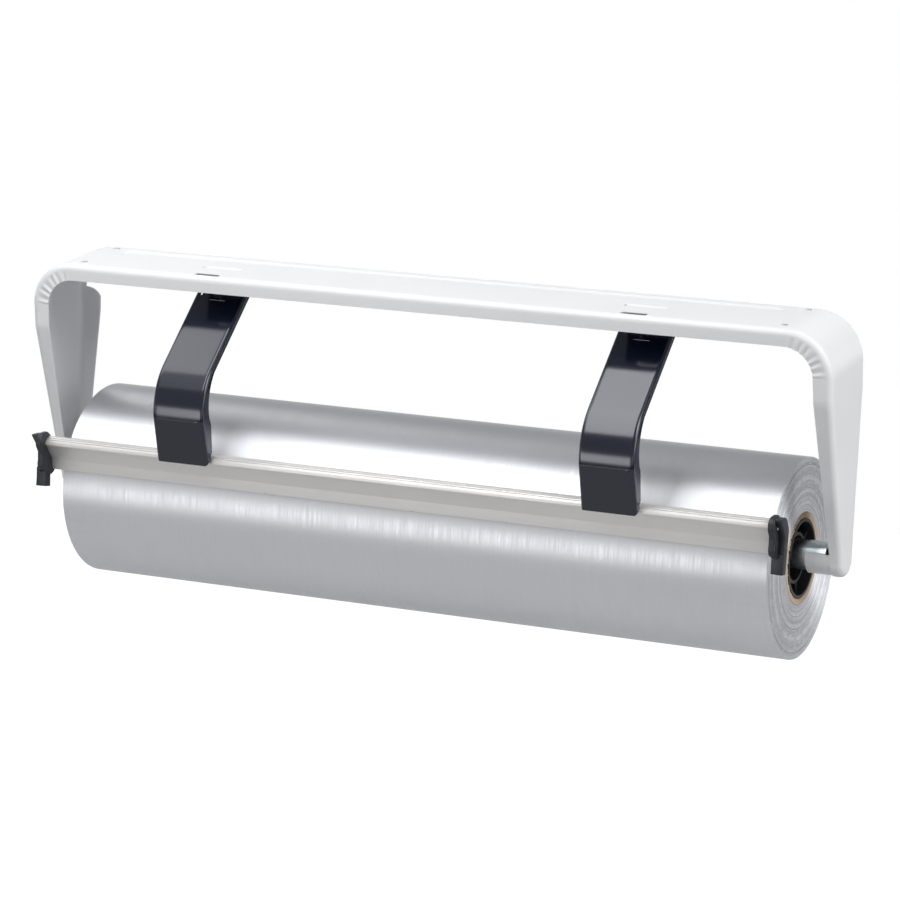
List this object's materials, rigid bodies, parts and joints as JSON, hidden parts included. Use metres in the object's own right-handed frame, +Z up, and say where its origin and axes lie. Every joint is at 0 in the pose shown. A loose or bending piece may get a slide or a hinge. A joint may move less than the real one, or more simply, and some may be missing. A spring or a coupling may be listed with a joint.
{
  "type": "foil roll dispenser",
  "caption": "Under-counter dispenser: a white sheet-steel hood with legs carries a foil roll on a loose axle, and a sprung tear bar on black arms rests on the roll",
  "frame": {"origin": "the middle of the four screw holes on the top face", "axes": "+X along the roll, -Y to the user who tears the foil, +Z up into the counter"},
  "size_m": [0.563, 0.1439, 0.2206],
  "materials": {
    "white_powder_coat": "satin white powder coat on steel sheet",
    "zinc_tube": "bluish zinc plate on steel tube",
    "black_plug": "satin black moulded plastic",
    "cardboard": "tan spiral-wound cardboard",
    "foil": "satin aluminium foil, wound",
    "black_enamel": "glossy black enamel on steel sheet",
    "bracket_steel": "black coated steel sheet",
    "bright_steel": "bright steel",
    "spring_steel": "zinc-plated spring wire",
    "rail_aluminium": "mill-finish extruded aluminium, ribbed head",
    "blade_steel": "plain steel strip",
    "cap_plastic": "charcoal moulded plastic"
  },
  "bodies": {
    "hood": {"frame": "white_powder_coat", "left_hinge_bracket": "bracket_steel", "right_hinge_bracket": "bracket_steel", "left_hinge_pin": "bright_steel", "right_hinge_pin": "bright_steel", "left_pin_clip": "bright_steel", "right_pin_clip": "bright_steel", "left_torsion_spring": "spring_steel", "right_torsion_spring": "spring_steel"},
    "axle": {"axle_tube": "zinc_tube"},
    "roll": {"foil_roll": "foil", "cardboard_core": "cardboard", "left_core_plug": "black_plug", "right_core_plug": "black_plug"},
    "tear_bar": {"left_arm": "black_enamel", "right_arm": "black_enamel", "tear_rail": "rail_aluminium", "cutter_blade": "blade_steel", "left_end_cap": "cap_plastic", "right_end_cap": "cap_plastic"}
  },
  "joints": [
    {"name": "axle_spin", "type": "hinge", "parent": "hood", "child": "axle", "pos_m": [0, 0.0034, -0.1527], "axis": [1, 0, 0], "continuous": true},
    {"name": "roll_spin", "type": "hinge", "parent": "hood", "child": "roll", "pos_m": [0, 0.00588, -0.15652], "axis": [1, 0, 0], "continuous": true},
    {"name": "bar_swing", "type": "hinge", "parent": "hood", "child": "tear_bar", "pos_m": [0, 0.0029, -0.0145], "axis": [-1, 0, 0], "range_deg": [0, 30], "stiffness_Nm_per_rad": 3, "springref_deg": -20.05, "deforming": ["left_torsion_spring", "right_torsion_spring"]}
  ]
}
